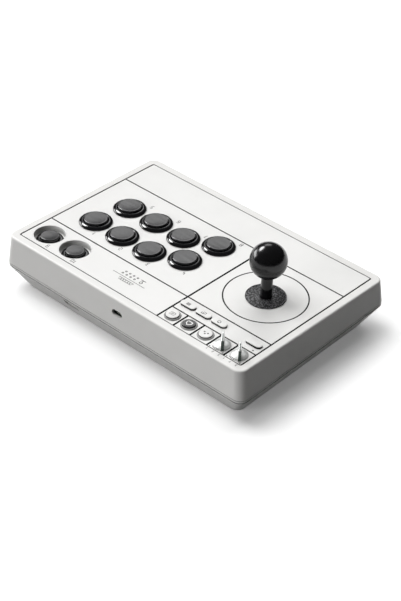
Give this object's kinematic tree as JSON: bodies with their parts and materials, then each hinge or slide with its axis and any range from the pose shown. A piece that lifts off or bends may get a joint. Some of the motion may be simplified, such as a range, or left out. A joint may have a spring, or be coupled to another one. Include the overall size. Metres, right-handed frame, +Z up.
{
  "type": "arcade joystick panel",
  "caption": "Wedge-shaped tabletop game controller with a ball-top lever on the left, round push buttons on the right, selector knobs and a stowed USB receiver.",
  "frame": {"origin": "middle of the underside, on the surface that the panel stands on", "axes": "+X to the player's right along the long side, +Y away from the player, +Z up"},
  "size_m": [0.305, 0.206, 0.113],
  "materials": {
    "casing_plastic": "fine satin moulded texture",
    "faceplate_plastic": "satin printed film",
    "plate_steel": "black zinc",
    "mat_rubber": "ribbed anti-slip",
    "screw_steel": "zinc plated",
    "board_laminate": "solder mask",
    "socket_metal": "nickel plated",
    "battery_wrap": "film wrap",
    "switch_plastic": "moulded",
    "led_lens": "smoked lens",
    "gloss_black": "polished",
    "cap_black": "fine satin",
    "stick_nylon": "moulded nylon",
    "stick_steel": "ground",
    "key_plastic": "satin",
    "home_key": "gloss",
    "knob_metal": "polished",
    "dongle_plastic": "satin"
  },
  "bodies": {
    "housing": {"top_shell": "casing_plastic", "faceplate": "faceplate_plastic", "mounting_plate": "plate_steel", "bottom_shell": "casing_plastic", "ballast_plate": "plate_steel", "rubber_mat": "mat_rubber", "screws": "screw_steel", "main_board": "board_laminate", "usb_port": "socket_metal", "battery": "battery_wrap", "control_board": "board_laminate", "control_switches": "switch_plastic", "status_led": "led_lens", "well_cups": "faceplate_plastic", "button_switches": "switch_plastic", "button_housing_1": "gloss_black", "button_housing_2": "gloss_black", "button_housing_3": "gloss_black", "button_housing_4": "gloss_black", "button_housing_5": "gloss_black", "button_housing_6": "gloss_black", "button_housing_7": "gloss_black", "button_housing_8": "gloss_black", "small_housing_1": "gloss_black", "small_housing_2": "gloss_black", "stick_bracket": "plate_steel", "stick_body": "stick_nylon", "stick_gate": "stick_nylon", "stick_switches": "switch_plastic"},
    "gimbal": {"gimbal_ring": "stick_steel"},
    "stick": {"cross_pin": "screw_steel", "shaft": "stick_steel", "shaft_cover": "gloss_black", "ball_top": "gloss_black", "stick_spring": "stick_steel", "actuator": "stick_nylon", "e_clip": "screw_steel"},
    "under_washer": {"under_washer": "stick_nylon"},
    "dust_washer": {"dust_washer": "gloss_black"},
    "dongle": {"dongle_body": "dongle_plastic", "dongle_plug": "socket_metal"},
    "button_cap_1": {"button_cap_1": "cap_black"},
    "button_cap_2": {"button_cap_2": "cap_black"},
    "button_cap_3": {"button_cap_3": "cap_black"},
    "button_cap_4": {"button_cap_4": "cap_black"},
    "button_cap_5": {"button_cap_5": "cap_black"},
    "button_cap_6": {"button_cap_6": "cap_black"},
    "button_cap_7": {"button_cap_7": "cap_black"},
    "button_cap_8": {"button_cap_8": "cap_black"},
    "small_cap_1": {"small_cap_1": "cap_black"},
    "small_cap_2": {"small_cap_2": "cap_black"},
    "round_button_1": {"round_button_1": "key_plastic"},
    "round_button_2": {"round_button_2": "home_key"},
    "round_button_3": {"round_button_3": "key_plastic"},
    "pill_button_1": {"pill_button_1": "key_plastic"},
    "pill_button_2": {"pill_button_2": "key_plastic"},
    "pill_button_3": {"pill_button_3": "key_plastic"},
    "pill_button_4": {"pill_button_4": "key_plastic"},
    "selector_knob_1": {"selector_knob_1": "knob_metal"},
    "selector_knob_2": {"selector_knob_2": "knob_metal"}
  },
  "joints": [
    {"name": "stick_pitch", "type": "hinge", "parent": "housing", "child": "gimbal", "pos_m": [-0.0907, 0.0005, 0.03925], "axis": [1, 0, 0], "range_deg": [-8, 8], "stiffness_Nm_per_rad": 0.45},
    {"name": "stick_roll", "type": "hinge", "parent": "gimbal", "child": "stick", "pos_m": [-0.0907, 0.0005, 0.03925], "axis": [0, 0.9995, 0.0311], "range_deg": [-8, 8], "stiffness_Nm_per_rad": 0.45},
    {"name": "under_washer_slide", "type": "slide", "parent": "housing", "child": "under_washer", "axis": [1, 0, 0], "range_m": [-0.0025, 0.0025]},
    {"name": "dust_washer_slide", "type": "slide", "parent": "under_washer", "child": "dust_washer", "axis": [0, 0.9995, 0.0311], "range_m": [-0.0025, 0.0025]},
    {"name": "button_cap_1_press", "type": "slide", "parent": "housing", "child": "button_cap_1", "axis": [0, 0.0311, -0.9995], "range_m": [0, 0.0032], "stiffness_N_per_m": 180, "springref_m": -0.002},
    {"name": "button_cap_2_press", "type": "slide", "parent": "housing", "child": "button_cap_2", "axis": [0, 0.0311, -0.9995], "range_m": [0, 0.0032], "stiffness_N_per_m": 180, "springref_m": -0.002},
    {"name": "button_cap_3_press", "type": "slide", "parent": "housing", "child": "button_cap_3", "axis": [0, 0.0311, -0.9995], "range_m": [0, 0.0032], "stiffness_N_per_m": 180, "springref_m": -0.002},
    {"name": "button_cap_4_press", "type": "slide", "parent": "housing", "child": "button_cap_4", "axis": [0, 0.0311, -0.9995], "range_m": [0, 0.0032], "stiffness_N_per_m": 180, "springref_m": -0.002},
    {"name": "button_cap_5_press", "type": "slide", "parent": "housing", "child": "button_cap_5", "axis": [0, 0.0311, -0.9995], "range_m": [0, 0.0032], "stiffness_N_per_m": 180, "springref_m": -0.002},
    {"name": "button_cap_6_press", "type": "slide", "parent": "housing", "child": "button_cap_6", "axis": [0, 0.0311, -0.9995], "range_m": [0, 0.0032], "stiffness_N_per_m": 180, "springref_m": -0.002},
    {"name": "button_cap_7_press", "type": "slide", "parent": "housing", "child": "button_cap_7", "axis": [0, 0.0311, -0.9995], "range_m": [0, 0.0032], "stiffness_N_per_m": 180, "springref_m": -0.002},
    {"name": "button_cap_8_press", "type": "slide", "parent": "housing", "child": "button_cap_8", "axis": [0, 0.0311, -0.9995], "range_m": [0, 0.0032], "stiffness_N_per_m": 180, "springref_m": -0.002},
    {"name": "small_cap_1_press", "type": "slide", "parent": "housing", "child": "small_cap_1", "axis": [0, 0.0311, -0.9995], "range_m": [0, 0.0032], "stiffness_N_per_m": 180, "springref_m": -0.002},
    {"name": "small_cap_2_press", "type": "slide", "parent": "housing", "child": "small_cap_2", "axis": [0, 0.0311, -0.9995], "range_m": [0, 0.0032], "stiffness_N_per_m": 180, "springref_m": -0.002},
    {"name": "round_button_1_press", "type": "slide", "parent": "housing", "child": "round_button_1", "axis": [0, 0.0311, -0.9995], "range_m": [0, 0.001], "stiffness_N_per_m": 400, "springref_m": -0.002},
    {"name": "round_button_2_press", "type": "slide", "parent": "housing", "child": "round_button_2", "axis": [0, 0.0311, -0.9995], "range_m": [0, 0.001], "stiffness_N_per_m": 400, "springref_m": -0.002},
    {"name": "round_button_3_press", "type": "slide", "parent": "housing", "child": "round_button_3", "axis": [0, 0.0311, -0.9995], "range_m": [0, 0.001], "stiffness_N_per_m": 400, "springref_m": -0.002},
    {"name": "pill_button_1_press", "type": "slide", "parent": "housing", "child": "pill_button_1", "axis": [0, 0.0311, -0.9995], "range_m": [0, 0.001], "stiffness_N_per_m": 400, "springref_m": -0.002},
    {"name": "pill_button_2_press", "type": "slide", "parent": "housing", "child": "pill_button_2", "axis": [0, 0.0311, -0.9995], "range_m": [0, 0.001], "stiffness_N_per_m": 400, "springref_m": -0.002},
    {"name": "pill_button_3_press", "type": "slide", "parent": "housing", "child": "pill_button_3", "axis": [0, 0.0311, -0.9995], "range_m": [0, 0.001], "stiffness_N_per_m": 400, "springref_m": -0.002},
    {"name": "pill_button_4_press", "type": "slide", "parent": "housing", "child": "pill_button_4", "axis": [0, 0.0311, -0.9995], "range_m": [0, 0.001], "stiffness_N_per_m": 400, "springref_m": -0.002},
    {"name": "selector_knob_1_turn", "type": "hinge", "parent": "housing", "child": "selector_knob_1", "pos_m": [-0.11085, 0.08169, 0.05778], "axis": [0, -0.0311, 0.9995], "range_deg": [-80, 0]},
    {"name": "selector_knob_2_turn", "type": "hinge", "parent": "housing", "child": "selector_knob_2", "pos_m": [-0.13095, 0.08169, 0.05778], "axis": [0, -0.0311, 0.9995], "range_deg": [-80, 0]},
    {"name": "dongle_pull", "type": "slide", "parent": "housing", "child": "dongle", "axis": [0, 1, 0], "range_m": [0, 0.084]}
  ],
  "couplings": [
    {"joint": "under_washer_slide", "follows": "stick_roll", "m_per_rad": 0.01665},
    {"joint": "dust_washer_slide", "follows": "stick_pitch", "m_per_rad": -0.01665}
  ]
}
